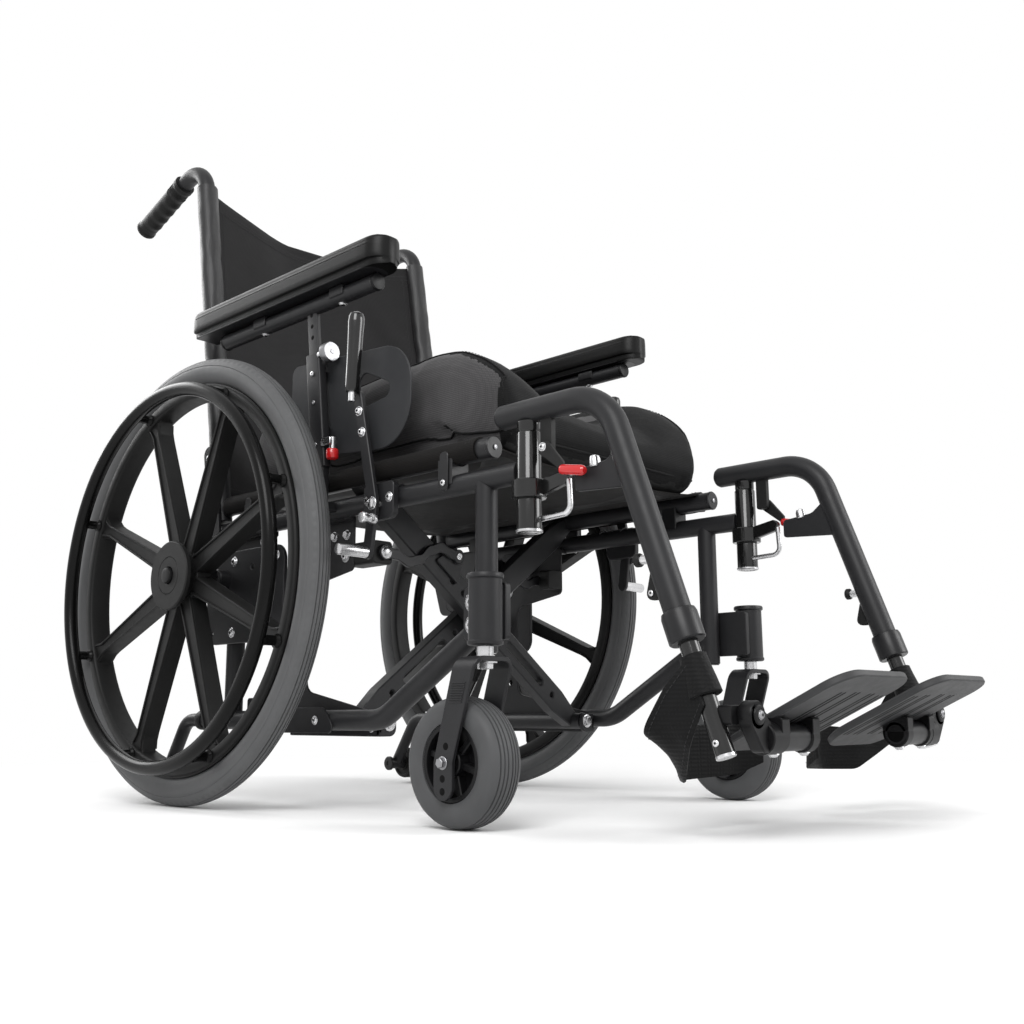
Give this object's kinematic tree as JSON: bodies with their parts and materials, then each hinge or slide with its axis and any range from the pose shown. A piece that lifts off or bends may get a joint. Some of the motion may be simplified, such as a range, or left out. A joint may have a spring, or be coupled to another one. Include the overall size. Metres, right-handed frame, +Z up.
{
  "type": "tilt in space wheelchair",
  "caption": "Folding wheelchair whose seat and back tilt together on the rear axle, with crossed braces, swing-away legrests, flip-up footplates, height-adjusted armrests and wheel locks.",
  "frame": {"origin": "on the floor, under the middle of the bounding box", "axes": "+Z up, -Y the way the chair faces, +X the sitter's left"},
  "size_m": [0.7124, 1.2356, 1.0037],
  "materials": {
    "charcoal": "satin powder coat",
    "charcoal_panel": "fine grain",
    "black_gloss": "gloss enamel",
    "black_plastic": "satin moulded",
    "black_rubber": "soft grip",
    "black_foam": "grained foam skin",
    "tyre": "matt grey rubber",
    "caster_grey": "matt",
    "bright_steel": "bright zinc",
    "red_plastic": "dipped",
    "cloth": "woven nylon",
    "webbing": "woven webbing",
    "composite": "moulded composite"
  },
  "bodies": {
    "base_right": {"right_base_frame": "charcoal", "right_caster_housing": "charcoal", "right_anti_tip_tube": "charcoal"},
    "base_left": {"left_base_frame": "charcoal", "left_caster_housing": "charcoal", "left_anti_tip_tube": "charcoal"},
    "side_right": {"right_side_frame": "charcoal", "right_back_cane": "charcoal", "right_push_grip": "black_rubber", "right_skirt_guard": "charcoal_panel", "right_lock_bracket": "charcoal", "back_upholstery": "cloth", "cushion": "cloth"},
    "side_left": {"left_side_frame": "charcoal", "left_back_cane": "charcoal", "left_push_grip": "black_rubber", "left_skirt_guard": "charcoal_panel", "left_lock_bracket": "charcoal"},
    "brace_left": {"left_brace": "charcoal", "brace_bolt": "bright_steel", "seat_sling": "cloth"},
    "brace_right": {"right_brace": "charcoal"},
    "wheel_left": {"left_tyre": "tyre", "left_mag_wheel": "black_plastic", "left_handrim": "black_gloss"},
    "button_left": {"left_axle_button": "bright_steel"},
    "caster_left": {"left_caster_fork": "charcoal"},
    "caster_wheel_left": {"left_caster_wheel": "caster_grey"},
    "anti_tip_left": {"left_anti_tip_wheel": "caster_grey"},
    "lock_left": {"left_lock_lever": "black_gloss"},
    "arm_left": {"left_arm_frame": "charcoal", "left_arm_pad": "black_foam"},
    "arm_latch_left": {"left_arm_latch": "red_plastic"},
    "legrest_left": {"left_legrest_hanger": "charcoal"},
    "legrest_latch_left": {"left_legrest_latch": "red_plastic"},
    "extension_left": {"left_legrest_extension": "bright_steel", "left_heel_loop": "webbing"},
    "footplate_left": {"left_footplate": "composite"},
    "link_left": {"left_folding_link": "black_plastic"},
    "gas_barrel_left": {"left_gas_barrel": "black_gloss"},
    "gas_rod_left": {"left_gas_rod": "bright_steel"},
    "wheel_right": {"right_tyre": "tyre", "right_mag_wheel": "black_plastic", "right_handrim": "black_gloss"},
    "button_right": {"right_axle_button": "bright_steel"},
    "caster_right": {"right_caster_fork": "charcoal"},
    "caster_wheel_right": {"right_caster_wheel": "caster_grey"},
    "anti_tip_right": {"right_anti_tip_wheel": "caster_grey"},
    "lock_right": {"right_lock_lever": "black_gloss"},
    "arm_right": {"right_arm_frame": "charcoal", "right_arm_pad": "black_foam"},
    "arm_latch_right": {"right_arm_latch": "red_plastic"},
    "legrest_right": {"right_legrest_hanger": "charcoal"},
    "legrest_latch_right": {"right_legrest_latch": "red_plastic"},
    "extension_right": {"right_legrest_extension": "bright_steel", "right_heel_loop": "webbing"},
    "footplate_right": {"right_footplate": "composite"},
    "link_right": {"right_folding_link": "black_plastic"},
    "gas_barrel_right": {"right_gas_barrel": "black_gloss"},
    "gas_rod_right": {"right_gas_rod": "bright_steel"}
  },
  "joints": [
    {"name": "tilt", "type": "hinge", "parent": "base_right", "child": "side_right", "pos_m": [0, 0.2793, 0.305], "axis": [-1, 0, 0], "range_deg": [0, 20]},
    {"name": "fold", "type": "hinge", "parent": "side_right", "child": "brace_left", "pos_m": [-0.192, 0.0753, 0.108], "axis": [0, -1, 0], "range_deg": [0, 42], "deforming": ["seat_sling", "back_upholstery", "cushion", "left_heel_loop", "right_heel_loop"]},
    {"name": "brace_centre", "type": "hinge", "parent": "brace_left", "child": "brace_right", "pos_m": [0, 0.0323, 0.25061], "axis": [0, -1, 0], "range_deg": [-85, 1]},
    {"name": "brace_foot_left", "type": "hinge", "parent": "brace_right", "child": "side_left", "pos_m": [0.192, 0.0753, 0.108], "axis": [0, -1, 0], "range_deg": [-1, 43]},
    {"name": "tilt_left", "type": "hinge", "parent": "side_left", "child": "base_left", "pos_m": [0, 0.2793, 0.305], "axis": [-1, 0, 0], "range_deg": [-21, 1]},
    {"name": "wheel_spin_left", "type": "hinge", "parent": "base_left", "child": "wheel_left", "pos_m": [0.304, 0.2793, 0.305], "axis": [1, 0, 0], "continuous": true},
    {"name": "axle_release_left", "type": "slide", "parent": "wheel_left", "child": "button_left", "axis": [-1, 0, 0], "range_m": [0, 0.004], "stiffness_N_per_m": 500, "springref_m": -0.002},
    {"name": "caster_swivel_left", "type": "hinge", "parent": "base_left", "child": "caster_left", "pos_m": [0.265, -0.2537, 0.2], "axis": [0, 0, 1], "continuous": true},
    {"name": "caster_spin_left", "type": "hinge", "parent": "caster_left", "child": "caster_wheel_left", "pos_m": [0.265, -0.2214, 0.069], "axis": [1, 0, 0], "continuous": true},
    {"name": "anti_tip_spin_left", "type": "hinge", "parent": "base_left", "child": "anti_tip_left", "pos_m": [0.2483, 0.4473, 0.034], "axis": [1, 0, 0], "continuous": true},
    {"name": "wheel_lock_left", "type": "hinge", "parent": "side_left", "child": "lock_left", "pos_m": [0.253, -0.0517, 0.371], "axis": [1, 0, 0], "range_deg": [0, 9]},
    {"name": "armrest_height_left", "type": "slide", "parent": "side_left", "child": "arm_left", "axis": [0, 0.1191, 0.9929], "range_m": [0, 0.06]},
    {"name": "armrest_latch_left", "type": "hinge", "parent": "side_left", "child": "arm_latch_left", "pos_m": [0.254, 0.0311, 0.463], "axis": [-1, 0, 0], "range_deg": [0, 25]},
    {"name": "legrest_swing_left", "type": "hinge", "parent": "side_left", "child": "legrest_left", "pos_m": [0.224, -0.2807, 0.4], "axis": [0, 0, 1], "range_deg": [0, 75]},
    {"name": "legrest_release_left", "type": "hinge", "parent": "legrest_left", "child": "legrest_latch_left", "pos_m": [0.231, -0.3087, 0.402], "axis": [1, 0, 0], "range_deg": [0, 30]},
    {"name": "legrest_length_left", "type": "slide", "parent": "legrest_left", "child": "extension_left", "axis": [0, -0.3331, -0.9429], "range_m": [0, 0.06]},
    {"name": "footplate_flip_left", "type": "hinge", "parent": "extension_left", "child": "footplate_left", "pos_m": [0.204, -0.5337, 0.117], "axis": [0, 1, 0], "range_deg": [-1, 92]},
    {"name": "link_swing_left", "type": "hinge", "parent": "side_left", "child": "link_left", "pos_m": [0.19, 0.0653, 0.3233], "axis": [0, -1, 0], "range_deg": [-65, 2]},
    {"name": "gas_swing_left", "type": "hinge", "parent": "base_left", "child": "gas_barrel_left", "pos_m": [0.187, 0.2493, 0.13], "axis": [-1, 0, 0], "range_deg": [-1, 12]},
    {"name": "gas_stroke_left", "type": "slide", "parent": "gas_barrel_left", "child": "gas_rod_left", "axis": [0, -0.5457, 0.838], "range_m": [-0.001, 0.042]},
    {"name": "wheel_spin_right", "type": "hinge", "parent": "base_right", "child": "wheel_right", "pos_m": [-0.304, 0.2793, 0.305], "axis": [1, 0, 0], "continuous": true},
    {"name": "axle_release_right", "type": "slide", "parent": "wheel_right", "child": "button_right", "axis": [1, 0, 0], "range_m": [0, 0.004], "stiffness_N_per_m": 500, "springref_m": -0.002},
    {"name": "caster_swivel_right", "type": "hinge", "parent": "base_right", "child": "caster_right", "pos_m": [-0.265, -0.2537, 0.2], "axis": [0, 0, 1], "continuous": true},
    {"name": "caster_spin_right", "type": "hinge", "parent": "caster_right", "child": "caster_wheel_right", "pos_m": [-0.265, -0.2214, 0.069], "axis": [1, 0, 0], "continuous": true},
    {"name": "anti_tip_spin_right", "type": "hinge", "parent": "base_right", "child": "anti_tip_right", "pos_m": [-0.2483, 0.4473, 0.034], "axis": [1, 0, 0], "continuous": true},
    {"name": "wheel_lock_right", "type": "hinge", "parent": "side_right", "child": "lock_right", "pos_m": [-0.253, -0.0517, 0.371], "axis": [1, 0, 0], "range_deg": [0, 9]},
    {"name": "armrest_height_right", "type": "slide", "parent": "side_right", "child": "arm_right", "axis": [0, 0.1191, 0.9929], "range_m": [0, 0.06]},
    {"name": "armrest_latch_right", "type": "hinge", "parent": "side_right", "child": "arm_latch_right", "pos_m": [-0.254, 0.0311, 0.463], "axis": [-1, 0, 0], "range_deg": [0, 25]},
    {"name": "legrest_swing_right", "type": "hinge", "parent": "side_right", "child": "legrest_right", "pos_m": [-0.224, -0.2807, 0.4], "axis": [0, 0, -1], "range_deg": [0, 75]},
    {"name": "legrest_release_right", "type": "hinge", "parent": "legrest_right", "child": "legrest_latch_right", "pos_m": [-0.231, -0.3087, 0.402], "axis": [1, 0, 0], "range_deg": [0, 30]},
    {"name": "legrest_length_right", "type": "slide", "parent": "legrest_right", "child": "extension_right", "axis": [0, -0.3331, -0.9429], "range_m": [0, 0.06]},
    {"name": "footplate_flip_right", "type": "hinge", "parent": "extension_right", "child": "footplate_right", "pos_m": [-0.204, -0.5337, 0.117], "axis": [0, -1, 0], "range_deg": [-1, 92]},
    {"name": "link_swing_right", "type": "hinge", "parent": "side_right", "child": "link_right", "pos_m": [-0.19, -0.0007, 0.3233], "axis": [0, -1, 0], "range_deg": [-2, 65]},
    {"name": "gas_swing_right", "type": "hinge", "parent": "base_right", "child": "gas_barrel_right", "pos_m": [-0.187, 0.2493, 0.13], "axis": [-1, 0, 0], "range_deg": [-1, 12]},
    {"name": "gas_stroke_right", "type": "slide", "parent": "gas_barrel_right", "child": "gas_rod_right", "axis": [0, -0.5457, 0.838], "range_m": [-0.001, 0.042]}
  ],
  "couplings": [
    {"joint": "brace_centre", "follows": "fold", "ratio": -2},
    {"joint": "brace_foot_left", "follows": "fold", "ratio": 1},
    {"joint": "tilt_left", "follows": "tilt", "ratio": -1},
    {"joint": "footplate_flip_left", "follows": "fold", "ratio": 2.1429},
    {"joint": "link_swing_left", "follows": "fold", "ratio": -1.4831},
    {"joint": "gas_swing_left", "follows": "tilt", "ratio": 0.49325},
    {"joint": "gas_stroke_left", "follows": "tilt", "m_per_rad": 0.10886},
    {"joint": "footplate_flip_right", "follows": "fold", "ratio": 2.1429},
    {"joint": "link_swing_right", "follows": "fold", "ratio": 1.4831},
    {"joint": "gas_swing_right", "follows": "tilt", "ratio": 0.49325},
    {"joint": "gas_stroke_right", "follows": "tilt", "m_per_rad": 0.10886}
  ]
}
